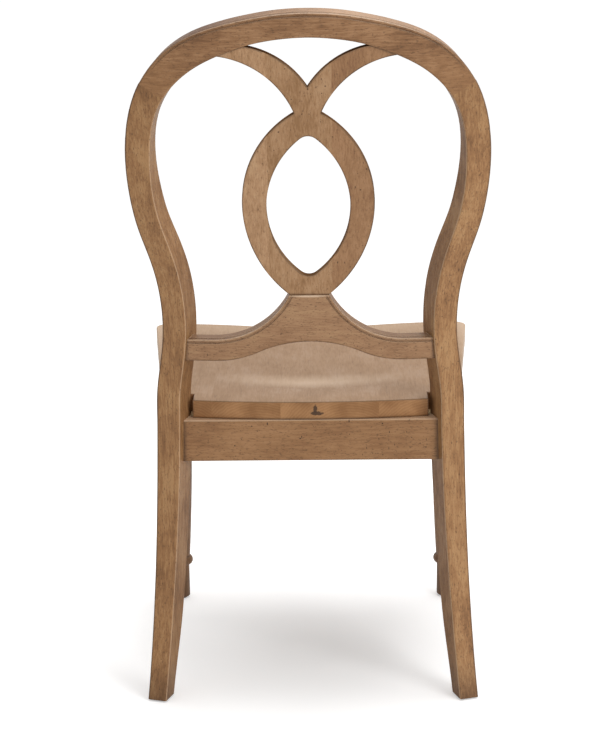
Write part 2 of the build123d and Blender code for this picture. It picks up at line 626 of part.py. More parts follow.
def build_chair():
    """Every piece of the chair by name, in the place where it is put together."""
    middle = {"crest_rail": make_crest(), "lower_back_rail": make_rail()}
    left = {"rear_post": make_post(), "front_leg": front_leg()}
    middle["splat"] = make_splat(middle["crest_rail"])
    posts = left["rear_post"] + mirrored(left["rear_post"])
    legs = left["front_leg"] + mirrored(left["front_leg"])
    middle["lower_back_rail"] -= posts
    post_reach = frame_edge(SEAT_REAR_HEIGHT - APRON_HEIGHT, 0, 0).X
    middle["rear_apron"] = cross_apron(post_reach, APRON_REAR_Y) - posts
    middle["front_apron"] = cross_apron(FRONT_LEG_X, FRONT_APRON_REAR_Y) - legs
    left["side_apron"] = side_apron() - left["rear_post"] - left["front_leg"]
    middle["seat"] = make_seat()

    groups = {}

    def fit(group, piece, hole, names):
        """Add a fastener and its mirror image to a group, and cut its hole in what it joins."""
        groups.setdefault(group, []).extend([piece, mirrored(piece)])
        for name in names:
            if name in left:
                left[name] = left[name] - hole
            else:
                middle[name] = middle[name] - hole - mirrored(hole)

    for group, names, plane, size in dowel_joints():
        pin, hole = dowel(plane, size)
        fit(group, pin, hole, names)

    way = Vector(sin(SIDE_ANGLE), -cos(SIDE_ANGLE))
    rear_y = APRON_REAR_Y - APRON_THICKNESS
    for end, y, lengthwise in (("rear", rear_y, way), ("front", FRONT_APRON_REAR_Y, way * -1)):
        corner = side_face(y, APRON_THICKNESS)
        block = corner_block(corner, Vector(-1, 0), lengthwise) - left["rear_post"] - left["front_leg"]
        block_name = end + "_corner_block"
        left[block_name] = block.solids().sort_by(SortBy.VOLUME)[-1]
        *apron_planes, seat_plane = block_screw_planes(corner, Vector(-1, 0), lengthwise)
        targets = (end + "_apron", "side_apron", "seat")
        for plane, target in zip(apron_planes + [seat_plane], targets):
            screw = plane * wood_screw()
            group = "seat_screws" if target == "seat" else "corner_block_screws"
            left[block_name] = left[block_name] - plane * counterbore()
            fit(group, screw, screw, (block_name, target))

    for end, piece in (("rear", "rear_post"), ("front", "front_leg")):
        spot = left[piece].faces().sort_by(Axis.Z)[0].center()
        left[end + "_glide"] = Pos(spot.X, spot.Y, 0) * glide()
        left[piece] = left[piece] - left[end + "_glide"]

    boards = sliced(middle.pop("seat"), SEAT_JOINTS)
    pieces = splat_staves(middle.pop("splat")) | middle
    for number, board in enumerate(boards, 1):
        pieces[f"seat_board_{number}"] = board
    for name, shape in left.items():
        pieces["left_" + name] = shape
        pieces["right_" + name] = mirrored(shape)
    for name, shapes in groups.items():
        pieces[name] = Compound([solid for shape in shapes for solid in shape.solids()])
    return pieces


pieces = build_chair()
box = Compound([solid for shape in pieces.values() for solid in shape.solids()]).bounding_box()
centring = Pos(0, -box.center().Y, 0)
os.makedirs("parts", exist_ok=True)
for name, shape in pieces.items():
    export_step(centring * shape, f"parts/{name}.step")
print("size", [round(v, 2) for v in box.size], "moved along Y by", round(-box.center().Y, 3))
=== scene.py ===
from math import cos, pi, radians, sin

import bpy
from mathutils import Matrix, Vector


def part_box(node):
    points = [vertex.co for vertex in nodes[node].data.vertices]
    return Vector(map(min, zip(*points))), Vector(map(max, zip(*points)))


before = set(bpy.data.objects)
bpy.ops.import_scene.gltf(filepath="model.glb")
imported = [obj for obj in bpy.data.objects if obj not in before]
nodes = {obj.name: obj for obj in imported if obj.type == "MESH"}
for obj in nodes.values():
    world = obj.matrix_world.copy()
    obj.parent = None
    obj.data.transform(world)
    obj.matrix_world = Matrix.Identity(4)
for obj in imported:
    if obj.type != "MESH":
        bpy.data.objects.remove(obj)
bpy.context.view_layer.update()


# Rear posts: each is one board, sawn to the waisted curve from the crest's joint to the floor and sanded
# to soft corners. They are birch, which gives a fine even grain, under a tan stain that is cloudy where
# it was wiped; a dark glaze was left in the corners, the pores and the worm marks.
# The glaze colour is also used for painted shade, and the worn colour also for painted highlights.
GLAZE_AND_SHADE = "#3a2616"
WEAR_AND_HIGHLIGHT = "#c2a283"
POST_TONES = ("#825c3a", "#9a7048", "#ad8459")
POST_ENDS = ("#6f4c30", "#7f5b3b")
POST_SHIFTS = ((0.3, 0.1, 0.7), (0.9, 0.4, 0.2))
DOWN = Vector((0, 0, -1))
FOOT_FADE, FOOT_DARKENING = 0.06, 0.5
JOINT_FADE, JOINT_SHADE = 0.1, 0.12

# Where the wood's value turns from its dark tone to its middle and light ones.
TONE_PLACES = (0.41, 0.5, 0.59)
# Sizes of growth rings and of worm marks, in millimetres, and the marks' widths as shares of a cell.
RING_WIDTH, RING_LENGTH = 4.0, 4000
MARK_SPACING, DASH_SPACING = 8, 22
DOT_WIDTH, DASH_WIDTH = 0.17, 0.13
# A corner's radius in metres, and how well the normals match where it starts to show and where it is full.
SHARP_CORNER = (0.0016, 0.96, 0.80)
SOFT_CORNER = (0.0045, 0.997, 0.90)
SHARP_GLAZE = 0.75
# How far from a glued joint corners start to show again and where they are full, in metres.
FLUSH_START, FLUSH_END = 0.003, 0.006
GRAIN_DEPTH = 0.0007
PORE_LENGTH = 4.5


def linear(code):
    """Linear colour of an sRGB hex value."""
    channels = [int(code[start:start + 2], 16) / 255 for start in (1, 3, 5)]
    return [c / 12.92 if c <= 0.04045 else ((c + 0.055) / 1.055) ** 2.4 for c in channels] + [1.0]


def add(tree, kind, feeds, output=0, **settings):
    """Node of a kind with its settings. Feeds gives each input a socket to link or a value to hold.

    A MapRange takes a value at 0, its range at 1 and 2, and the range to give at 3 and 4. A Mix takes
    a share at 0, and the colours at 6 and 7.
    """
    made = tree.nodes.new("ShaderNode" + kind)
    for name, value in settings.items():
        setattr(made, name, value)
    for socket, source in feeds.items():
        if isinstance(source, bpy.types.NodeSocket):
            tree.links.new(source, made.inputs[socket])
        else:
            made.inputs[socket].default_value = source
    return made.outputs[output]


def cells(x, y, z):
    """Pattern repeats per metre for cells of these sizes in millimetres."""
    return Vector((1000 / x, 1000 / y, 1000 / z))


def along_grain(grain, across, length):
    """Cells that are long along the grain and narrow across it, in millimetres."""
    return cells(*[length if axis == grain else across for axis in "XYZ"])


def worm_marks(tree, where, size, width):
    """Dark marks of uneven size: one in each cell of a loose lattice, where the surface cuts it."""
    least = width * 0.3
    stretched = add(tree, "VectorMath", {0: where, 1: size}, operation="MULTIPLY")
    lattice = add(tree, "TexVoronoi", {"Vector": stretched, "Scale": 1.0}).node.outputs
    chance = add(tree, "SeparateColor", {0: lattice["Color"]})
    reach = add(tree, "MapRange", {0: chance, 3: least, 4: width})
    inside = add(tree, "Math", {0: reach, 1: lattice["Distance"]}, operation="SUBTRACT")
    return add(tree, "MapRange", {0: inside, 2: least})


def height_over(tree, spot, plane):
    """Signed distance past a plane, which is given by its direction and its distance from the origin."""
    direction, distance = plane
    reach = add(tree, "VectorMath", {0: spot, 1: direction}, "Value", operation="DOT_PRODUCT")
    return add(tree, "Math", {0: reach, 1: distance}, operation="SUBTRACT")


def chair_wood(name, grain, tones, ends, shift, gathered=(), flush=(), marked=0.6, pore=(PORE_LENGTH, 0.5),
               top=(WEAR_AND_HIGHLIGHT, 0.0), edge=(WEAR_AND_HIGHLIGHT, 0.0), quirk=0.0, cut=0.0, outline=0.0, rubbed=0.3):
    """Wood whose grain runs along an axis, with glaze in its corners, pores and worm marks.

    Tones go from dark to light. Ends are the tones of end grain. Gathered lists planes up to which the
    colour darkens, each with a fade and a strength: glaze in joints, painted shadow in gaps between parts,
    and plain darkening at feet and shoulders. Flush lists the planes of glued joints, which show no
    corner. Marked is the strength of the worm marks, and pore is a pore's length and strength. Top is a
    painted highlight or painted shade on faces that look up, and edge is one on the rounded top rear
    edge, each with its strength. Quirk is how strong glaze and painted shade lie in the line where that
    edge leaves the top. Cut is how strong painted shade lies on sawn sides, which look to neither the rear
    nor the front, and are dull. Outline is how strong painted shade lies on rounded edges on the chair's
    outer side, and a painted highlight on those on the inner side. Rubbed is how far the stain is worn
    off the upper corners.
    """
    finish = bpy.data.materials.new(name)
    finish.use_nodes = True
    tree = finish.node_tree
    # Glaze also serves as painted shade below, and pale as wear and as painted highlight.
    glaze, pale = linear(GLAZE_AND_SHADE), linear(WEAR_AND_HIGHLIGHT)
    spot = add(tree, "TexCoord", {}, "Object")
    where = add(tree, "VectorMath", {0: spot, 1: shift}, operation="ADD")
    normal = add(tree, "NewGeometry", {}, "Normal")
    facing = add(tree, "SeparateXYZ", {0: normal}).node.outputs

    # Cell sizes are in millimetres. Real birch fibre and pores are much finer than this: they are drawn
    # as coarse as a pixel shows.
    patterns = {}
    for pattern, size, detail in (("clouds", along_grain(grain, 45, 90), 3.0),
                                  ("figure", along_grain(grain, 7, 110), 4.0),
                                  ("fibre", along_grain(grain, 2.2, 22), 3.0),
                                  ("pores", along_grain(grain, 1.4, pore[0]), 2.0),
                                  ("patches", cells(18, 18, 18), 2.0),
                                  ("area", cells(60, 60, 60), 2.0)):
        stretched = add(tree, "VectorMath", {0: where, 1: size}, operation="MULTIPLY")
        feeds = {"Vector": stretched, "Scale": 1.0, "Detail": detail}
        patterns[pattern] = add(tree, "TexNoise", feeds, "Fac")
    value = add(tree, "Math", {0: patterns["clouds"], 1: 0.34}, operation="MULTIPLY")
    for pattern, share in (("patches", 0.12), ("figure", 0.22), ("fibre", 0.32)):
        value = add(tree, "Math", {0: patterns[pattern], 1: share, 2: value}, operation="MULTIPLY_ADD")
    colour = add(tree, "ValToRGB", {0: value}, "Color")
    stops = colour.node.color_ramp.elements
    stops.new(TONE_PLACES[1])
    for stop, place, tone in zip(stops, TONE_PLACES, tones):
        stop.position, stop.color = place, linear(tone)

    # Growth rings on the end grain: a ring wave at a scale of a tenth of pi repeats once in each cell.
    # Here and below, a normal's part along an axis is 1 for a face that looks along it.
    lengthwise = add(tree, "Math", {0: facing[grain]}, operation="ABSOLUTE")
    end_share = add(tree, "MapRange", {0: lengthwise, 1: 0.6, 2: 0.95})
    ring_cells = along_grain(grain, RING_WIDTH, RING_LENGTH)
    pith = add(tree, "VectorMath", {0: where, 1: ring_cells}, operation="MULTIPLY")
    feeds = {"Vector": pith, "Scale": pi / 10, "Distortion": 4.0, "Detail": 3.0}
    rings = add(tree, "TexWave", feeds, "Fac", wave_type="RINGS", rings_direction=grain)
    ring_share = add(tree, "Math", {0: rings, 1: 0.1, 2: patterns["clouds"]}, operation="MULTIPLY_ADD")
    end_tone = add(tree, "MapRange", {0: ring_share, 1: 0.40, 2: 0.70})
    end_colour = add(tree, "Mix", {0: end_tone, 6: linear(ends[0]), 7: linear(ends[1])}, 2, data_type="RGBA")
    crosswise = add(tree, "Math", {0: facing["Y"]}, operation="ABSOLUTE")
    # Sawn sides take painted shade, and faces that look up a painted highlight or painted shade, by the way
    # they face.
    cut_share = add(tree, "MapRange", {0: crosswise, 1: 0.75, 2: 0.35, 4: cut})
    top_share = add(tree, "MapRange", {0: facing["Z"], 1: 0.3, 2: 0.8, 4: top[1]})
    layers = [(end_share, end_colour), (cut_share, glaze), (top_share, linear(top[0]))]

    # Corners show where a normal rounded over a radius turns away from the true one: a narrow line for
    # sharp corners and quirks, and a wide one for the glaze beside them. Upper corners are worn instead.
    turns = []
    for radius, start, full in (SHARP_CORNER, SOFT_CORNER):
        rounded = add(tree, "Bevel", {"Radius": radius}, samples=8)
        match = add(tree, "VectorMath", {0: rounded, 1: normal}, "Value", operation="DOT_PRODUCT")
        turn = add(tree, "MapRange", {0: match, 1: start, 2: full})
        for plane in flush:
            gap = add(tree, "Math", {0: height_over(tree, spot, plane)}, operation="ABSOLUTE")
            clear = add(tree, "MapRange", {0: gap, 1: FLUSH_START, 2: FLUSH_END})
            turn = add(tree, "Math", {0: turn, 1: clear}, operation="MULTIPLY")
        turns.append(turn)
    rise = add(tree, "SeparateXYZ", {0: rounded}, "Z")
    off_wall = add(tree, "MapRange", {0: rise, 1: 0.05, 2: 0.3})
    off_top = add(tree, "MapRange", {0: rise, 1: 0.97, 2: 0.85, 4: rubbed})
    upper = add(tree, "Math", {0: off_wall, 1: off_top}, operation="MULTIPLY")
    worn = add(tree, "Math", {0: turns[1], 1: upper}, operation="MULTIPLY")
    unevenly = add(tree, "MapRange", {0: patterns["patches"], 1: 0.35, 2: 0.6, 3: 0.3, 4: 0.75})
    dark = add(tree, "Math", {0: turns[1], 1: unevenly}, operation="MULTIPLY")
    sharp = add(tree, "Math", {0: turns[0], 1: SHARP_GLAZE}, operation="MULTIPLY")
    dark = add(tree, "Math", {0: dark, 1: sharp}, operation="MAXIMUM")
    kept = add(tree, "Math", {0: 1.0, 1: upper}, operation="SUBTRACT")
    dark = add(tree, "Math", {0: dark, 1: kept}, operation="MULTIPLY")
    # Glaze in joints, painted shadow in gaps between parts, and plain darkening towards some planes.
    for plane, fade, strength in gathered:
        gathered_dark = add(tree, "MapRange", {0: height_over(tree, spot, plane), 1: -fade, 2: 0.0, 4: strength})
        dark = add(tree, "Math", {0: dark, 1: gathered_dark}, operation="MAXIMUM")
    # The quirk line is glaze and painted shade, laid where the normal slants partly to the rear.
    line = add(tree, "Math", {0: facing["Y"], 1: 0.42, 2: 0.14}, operation="COMPARE")
    line = add(tree, "Math", {0: line, 1: quirk}, operation="MULTIPLY")
    layers += [(worn, pale), (dark, glaze), (line, glaze)]

    # Rounded edges, whose normals slant between the rear or the front and the sides or the top, take painted
    # light: the top rear edge its tint, outer edges painted shade and inner edges a painted highlight.
    slanted = add(tree, "Math", {0: crosswise, 1: 0.7, 2: 0.2}, operation="COMPARE")
    raised = add(tree, "MapRange", {0: facing["Z"], 1: 0.1, 2: 0.3, 4: edge[1]})
    side_of_chair = add(tree, "Math", {0: add(tree, "SeparateXYZ", {0: spot}, "X")}, operation="SIGN")
    outward = add(tree, "Math", {0: facing["X"], 1: side_of_chair}, operation="MULTIPLY")
    outer = add(tree, "MapRange", {0: outward, 1: 0.3, 2: 0.5, 4: outline})
    inner = add(tree, "MapRange", {0: outward, 1: -0.3, 2: -0.5, 4: outline})
    for share, tint in ((raised, linear(edge[0])), (outer, glaze), (inner, pale)):
        layers.append((add(tree, "Math", {0: slanted, 1: share}, operation="MULTIPLY"), tint))

    # Pores, and worm marks that keep to some areas, hold the glaze below the surface.
    pores = add(tree, "MapRange", {0: patterns["pores"], 1: 0.57, 2: 0.70, 4: pore[1]})
    area = add(tree, "MapRange", {0: patterns["area"], 1: 0.38, 2: 0.54, 3: 0.1 * marked, 4: marked})
    dots = worm_marks(tree, where, cells(MARK_SPACING, MARK_SPACING, MARK_SPACING), DOT_WIDTH)
    dashes = worm_marks(tree, where, cells(MARK_SPACING, MARK_SPACING, DASH_SPACING), DASH_WIDTH)
    marks = add(tree, "Math", {0: dots, 1: dashes}, operation="MAXIMUM")
    marks = add(tree, "Math", {0: marks, 1: area}, operation="MULTIPLY")
    sunk = add(tree, "Math", {0: pores, 1: marks}, operation="MAXIMUM")
    layers.append((sunk, glaze))
    for share, tint in layers:
        colour = add(tree, "Mix", {0: share, 6: colour, 7: tint}, 2, data_type="RGBA")

    # Darker, open grain is lower and duller, and sawn sides lose their shine.
    height = add(tree, "Math", {0: value, 1: sunk}, operation="SUBTRACT")
    bump = add(tree, "Bump", {"Height": height, "Distance": GRAIN_DEPTH, "Strength": 0.5})
    roughness = add(tree, "MapRange", {0: value, 1: 0.36, 2: 0.64, 3: 0.58, 4: 0.44})
    shine = add(tree, "MapRange", {0: cut_share, 2: 0.5, 3: 0.3, 4: 0.0})
    shader = tree.nodes["Principled BSDF"]
    for source, socket in ((colour, "Base Color"), (roughness, "Roughness"), (bump, "Normal"),
                           (shine, "Specular IOR Level")):
        tree.links.new(source, shader.inputs[socket])
    return finish


def dress(finish, *names):
    """Give the named pieces a finish."""
    for name in names:
        nodes[name].material_slots[0].material = finish


# The crest's joints slope across the shoulders and were sanded flush, so no corner shows there.
SHOULDER_REACH, SHOULDER_HEIGHT = 0.2135, 0.9020
SHOULDER_TURN = radians(58.7)
shoulders = [Vector((side * SHOULDER_REACH, 0.0, SHOULDER_HEIGHT)) for side in (1, -1)]
shoulder_planes = []
for side, shoulder in zip((1, -1), shoulders):
    direction = Vector((side * cos(SHOULDER_TURN), 0.0, -sin(SHOULDER_TURN)))
    shoulder_planes.append((direction, direction.dot(shoulder)))
# Posts and legs are darker towards the foot.
foot_darkening = ((DOWN, 0.0), FOOT_FADE, FOOT_DARKENING)
for side, (direction, distance), shift in zip(("left", "right"), shoulder_planes, POST_SHIFTS):
    joint_shade = ((-direction, -distance), JOINT_FADE, JOINT_SHADE)
    # Sawn sides and outer rounded edges take painted shade, and inner rounded edges a painted highlight.
    post_finish = chair_wood(f"stained_birch_{side}_post", "Z", POST_TONES, POST_ENDS, shift,
                             gathered=(foot_darkening, joint_shade), flush=((direction, distance),),
                             cut=0.22, outline=0.6)
    dress(post_finish, f"{side}_rear_post")


# Crest rail: the bowed top of the back, sawn from a wide birch board with its grain running across, with
# a small bead worked along its top rear edge. It is doweled to the posts at the shoulders, where its
# stain blends into theirs. Its top has painted shade at the sitter's left and a painted highlight past the
# middle, the bead a painted highlight, and the quirk and outer edges painted shade.
CREST_TONES = ("#745134", "#8d6644", "#a27a56")
CREST_ENDS = ("#765438", "#86623f")
# Painted shade and a painted highlight on the crest's top, and the beads' painted highlight.
CREST_TOP_SHADE = "#4e2c12"
BEAD_HIGHLIGHT = "#e6cbb0"
CREST_END_HALF = (0.08, 1.0, 0.08)
CREST_SHADE_PLACE, CREST_SHADE_HALF = Vector((0.2, 0.2, 0.96)), (0.2, 1.0, 0.3)
CREST_HIGHLIGHT_PLACE, CREST_HIGHLIGHT_HALF = Vector((-0.07, 0.2, 1.0)), (0.09, 1.0, 0.3)
RIPPLE = 3


def patch(finish, centre, half, tint, strength, soft, ragged=0.0, only_top=False):
    """Tint an egg-shaped place on a finish, or its upper faces, with a soft edge that may be ragged."""
    tree = finish.node_tree
    base = tree.nodes["Principled BSDF"].inputs["Base Color"]
    spot = add(tree, "TexCoord", {}, "Object")
    offset = add(tree, "VectorMath", {0: spot, 1: centre}, operation="SUBTRACT")
    shape = add(tree, "VectorMath", {0: offset, 1: half}, operation="DIVIDE")
    reach = add(tree, "VectorMath", {0: shape}, "Value", operation="LENGTH")
    ripple_cells = cells(RIPPLE, RIPPLE, RIPPLE)
    stretched = add(tree, "VectorMath", {0: spot, 1: ripple_cells}, operation="MULTIPLY")
    ripple = add(tree, "TexNoise", {"Vector": stretched, "Scale": 1.0}, "Fac")
    reach = add(tree, "Math", {0: ripple, 1: ragged, 2: reach}, operation="MULTIPLY_ADD")
    share = add(tree, "MapRange", {0: reach, 1: 1.0, 2: 1.0 - soft, 4: strength})
    if only_top:
        facing_up = add(tree, "SeparateXYZ", {0: add(tree, "NewGeometry", {}, "Normal")}, "Z")
        upper = add(tree, "MapRange", {0: facing_up, 1: 0.6, 2: 0.85})
        share = add(tree, "Math", {0: share, 1: upper}, operation="MULTIPLY")
    former = base.links[0].from_socket
    tree.links.new(add(tree, "Mix", {0: share, 6: former, 7: linear(tint)}, 2, data_type="RGBA"), base)


# The top and the bead take painted highlights, and the quirk and the outer edges painted shade.
crest_finish = chair_wood("stained_birch_crest", "X", CREST_TONES, CREST_ENDS, (0.2, 0.5, 0.3),
                          flush=shoulder_planes, marked=0.45, top=(WEAR_AND_HIGHLIGHT, 0.2), edge=(BEAD_HIGHLIGHT, 0.35),
                          quirk=0.6, outline=0.6, rubbed=0.8)
for shoulder in shoulders:
    patch(crest_finish, shoulder, CREST_END_HALF, POST_TONES[1], strength=0.55, soft=1.0)
# Painted shade on the top at the sitter's left, and a painted highlight past the middle.
patch(crest_finish, CREST_SHADE_PLACE, CREST_SHADE_HALF, CREST_TOP_SHADE, strength=0.8, soft=0.7, only_top=True)
patch(crest_finish, CREST_HIGHLIGHT_PLACE, CREST_HIGHLIGHT_HALF, BEAD_HIGHLIGHT, strength=0.1, soft=0.9, only_top=True)
dress(crest_finish, "crest_rail")


# Splat: an oval ring with two arms, cut from three birch boards glued side by side with upright grain, so
# each takes the stain a little differently. It stands on the lower rail and is doweled to the crest.
SPLAT_TONES = {"left": ("#9a7552", "#ad8662", "#ba9570"),
               "middle": ("#8e6945", "#a07a56", "#ad8864"),
               "right": ("#855f41", "#966f4c", "#a27a57")}
SPLAT_ENDS = ("#6f4f33", "#805e40")
SPLAT_PIECES = {"left": ("left_splat_side", "left_splat_arm"), "middle": ("splat_base", "splat_neck"),
                "right": ("right_splat_side", "right_splat_arm")}
SPLAT_FOOT_FADE, SPLAT_FOOT_GLAZE_AND_SHADOW = 0.004, 0.6
glue_planes = [(Vector((1, 0, 0)), corner.x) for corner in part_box("splat_base")]
# Glaze and painted shadow where the splat's foot meets the rail.
foot_joint = ((DOWN, -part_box("splat_base")[0].z), SPLAT_FOOT_FADE, SPLAT_FOOT_GLAZE_AND_SHADOW)
for place, (board, tones) in enumerate(SPLAT_TONES.items()):
    splat_shift = (0.6 + place, 0.2, 0.4 * place)
    # Sawn sides take painted shade.
    splat_finish = chair_wood(f"stained_birch_splat_{board}", "Z", tones, SPLAT_ENDS, splat_shift,
                              gathered=(foot_joint,), flush=glue_planes, marked=0.8,
                              pore=(PORE_LENGTH, 0.3), cut=0.6)
    dress(splat_finish, *SPLAT_PIECES[board])


# Lower back rail: birch with the grain along it, arched below and flared up to the neck that carries the
# splat, with the crest's bead on its top rear edge. Glaze has gathered where its ends meet the posts. Its
# top has painted shade, and the bead and the neck's top edge painted highlights.
RAIL_TONES = ("#906b4c", "#9e7857", "#a8835f")
RAIL_ENDS = ("#76553b", "#876347")
NECK_DROP = 0.004
NECK_HIGHLIGHT_HALF = (0.03, 0.02, 0.0024)


def both_ends(half_length, fade, strength):
    """Glaze gathered at the two ends of a piece that lies across the chair."""
    return tuple(((Vector((side, 0, 0)), half_length), fade, strength) for side in (1, -1))


rail_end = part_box("lower_back_rail")[1]
# Painted shade on the top and a painted highlight on the bead.
rail_finish = chair_wood("stained_birch_rail", "X", RAIL_TONES, RAIL_ENDS, (0.7, 0.3, 0.5),
                         gathered=both_ends(rail_end.x, fade=0.006, strength=0.7), top=(GLAZE_AND_SHADE, 0.45),
                         edge=(BEAD_HIGHLIGHT, 0.95), rubbed=0.9)
neck_line = Vector((0, rail_end.y, rail_end.z - NECK_DROP))
# Painted highlight along the neck's top edge.
patch(rail_finish, neck_line, NECK_HIGHLIGHT_HALF, BEAD_HIGHLIGHT, strength=0.6, soft=0.6)
dress(rail_finish, "lower_back_rail")


# Aprons: straight birch boards under the seat with eased edges, doweled between the posts and the front
# legs. The rear one is full of worm marks, and glaze has gathered in its end joints. Its top and top rear
# edge are paler, with wear and painted highlight.
APRON_TONES = ("#88613f", "#966e49", "#a07751")
APRON_ENDS = ("#6c4b32", "#7c5a3e")
APRON_WEAR_AND_HIGHLIGHT_HALF = (0.5, 0.03, 0.0035)
apron_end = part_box("rear_apron")[1]
# The top and the rounded top rear edge of the rear apron take painted highlights.
apron_finish = chair_wood("stained_birch_rear_apron", "X", APRON_TONES, APRON_ENDS, (0.4, 0.9, 0.6),
                          gathered=both_ends(apron_end.x, fade=0.007, strength=0.85), marked=1.0,
                          top=(WEAR_AND_HIGHLIGHT, 0.7), edge=(WEAR_AND_HIGHLIGHT, 0.8), rubbed=0.8)
apron_line = Vector((0, apron_end.y, apron_end.z))
# Wear and painted highlight along the top rear edge.
patch(apron_finish, apron_line, APRON_WEAR_AND_HIGHLIGHT_HALF, WEAR_AND_HIGHLIGHT, strength=0.7, soft=0.4)
dress(apron_finish, "rear_apron")
dress(chair_wood("stained_birch_front_apron", "X", APRON_TONES, APRON_ENDS, (0.8, 0.1, 0.3)),
      "front_apron")
dress(chair_wood("stained_birch_side_aprons", "Y", APRON_TONES, APRON_ENDS, (0.1, 0.3, 0.8)),
      "left_side_apron", "right_side_apron")


# Seat: five birch boards glued edge to edge and scooped, with the grain running front to back. The worn
# top has lost most of its stain, and is paler still at the front rim and the sides; a painted highlight
# lies across the scoop, and painted shade along the rounded top edges. The rear edge is end grain, which
# drank more of it, and has a dark knot and a painted shadow where it sits on the apron.
SEAT_BOARDS = 5
SEAT_TONES = (("#8d6e50", "#957556", "#9b7c5f"), ("#8f7052", "#977758", "#9d7e61"))
SEAT_ENDS = ("#8a6039", "#a87b50")
SEAT_WEAR_AND_HIGHLIGHT = "#c9ae93"
SEAT_PORE = (70, 0.18)
SEAT_FOOT_FADE, SEAT_FOOT_SHADOW = 0.004, 0.9
PITH_STEP, PITH_BACK, PITH_DROP = 0.01, 0.4, 0.06
SCOOP_HIGHLIGHT_PLACE, SCOOP_HIGHLIGHT_HALF = Vector((0, 0.02, 0.43)), (0.16, 0.045, 0.1)
RIM_HEIGHT, RIM_HALF = 0.47, (0.4, 0.09, 0.1)
SIDE_MIDDLE, SIDE_HEIGHT, SIDE_HALF = -0.2, 0.45, (0.03, 0.4, 0.1)
KNOT_BOARD = 3
KNOT_PLACE, KNOT_HALF = Vector((-0.009, 0.15, 0.4255)), (0.014, 0.02, 0.0048)
STEM_PLACE, STEM_HALF = Vector((-0.007, 0.15, 0.432)), (0.0045, 0.02, 0.0105)
# Glue lines lie within this distance of the seat's middle, and its own sides lie beyond.
GLUE_LIMIT = 0.2
# Painted shadow along the seat's lower edge, where it sits on the apron.
seat_foot_shadow = ((DOWN, -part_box("seat_board_3")[0].z), SEAT_FOOT_FADE, SEAT_FOOT_SHADOW)
front_rim = Vector((0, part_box("seat_board_3")[0].y, RIM_HEIGHT))
seat_sides = [Vector((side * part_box("seat_board_1")[1].x, SIDE_MIDDLE, SIDE_HEIGHT)) for side in (1, -1)]
for number in range(1, SEAT_BOARDS + 1):
    board = f"seat_board_{number}"
    low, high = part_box(board)
    glue_lines = [(Vector((1, 0, 0)), corner.x) for corner in (low, high) if abs(corner.x) < GLUE_LIMIT]
    pith = (-(low.x + high.x) / 2 + PITH_STEP * number, PITH_BACK, PITH_DROP - low.z)
    # A painted shade line along the rounded top edges.
    seat_finish = chair_wood(f"worn_birch_seat_{number}", "Y", SEAT_TONES[number % 2], SEAT_ENDS, pith,
                             gathered=(seat_foot_shadow,), flush=glue_lines, marked=0.15, pore=SEAT_PORE,
                             edge=(GLAZE_AND_SHADE, 0.5))
    # A painted highlight across the scoop, and a paler rim and sides.
    patch(seat_finish, SCOOP_HIGHLIGHT_PLACE, SCOOP_HIGHLIGHT_HALF, SEAT_WEAR_AND_HIGHLIGHT, strength=0.65, soft=0.9)
    patch(seat_finish, front_rim, RIM_HALF, SEAT_WEAR_AND_HIGHLIGHT, strength=0.4, soft=0.6)
    for place in seat_sides:
        patch(seat_finish, place, SIDE_HALF, SEAT_WEAR_AND_HIGHLIGHT, strength=0.7, soft=0.8)
    if number == KNOT_BOARD:
        patch(seat_finish, KNOT_PLACE, KNOT_HALF, GLAZE_AND_SHADE, strength=0.9, soft=0.15, ragged=0.6)
        patch(seat_finish, STEM_PLACE, STEM_HALF, GLAZE_AND_SHADE, strength=0.9, soft=0.2, ragged=0.6)
    dress(seat_finish, board)


# Front legs: birch turned from square stock that is left square at the head, with a ring above the foot
# and a bead and a cove under the head. The aprons are doweled into the heads.
LEG_TONES = ("#6d4d33", "#815f41", "#8e6b4a")
LEG_SHIFTS = {"left": (0.15, 0.75, 0.35), "right": (0.65, 0.25, 0.55)}
for side, shift in LEG_SHIFTS.items():
    leg_finish = chair_wood(f"stained_birch_{side}_leg", "Z", LEG_TONES, POST_ENDS, shift,
                            gathered=(foot_darkening,))
    dress(leg_finish, f"{side}_front_leg")


# Corner blocks and dowels: sawn and turned beech that nobody sees, so it has no stain, and only some glaze
# has run into its corners and pores. The blocks brace the aprons and carry the seat's screws; the dowels
# are glued in the joints.
BEECH_TONES = ("#ac8f68", "#bea177", "#cab084")
BEECH_ENDS = ("#a0825c", "#b0926a")
CORNERS = [f"{side}_{end}" for side in ("left", "right") for end in ("front", "rear")]
beech = chair_wood("raw_beech", "X", BEECH_TONES, BEECH_ENDS, (0.3, 0.3, 0.3), marked=0.0)
dress(beech, *[f"{corner}_corner_block" for corner in CORNERS])
dress(beech, *[name for name in nodes if name.endswith("_dowels")])


# Screws: steel, rolled and pressed, then zinc plated, which leaves a faintly mottled dull shine. They
# hold the corner blocks to the aprons and the seat to the blocks. Real plating has a finer grain than this.
ZINC_TONES = ("#8f8d86", "#b4b2aa")
ZINC_GRAIN = 1.5


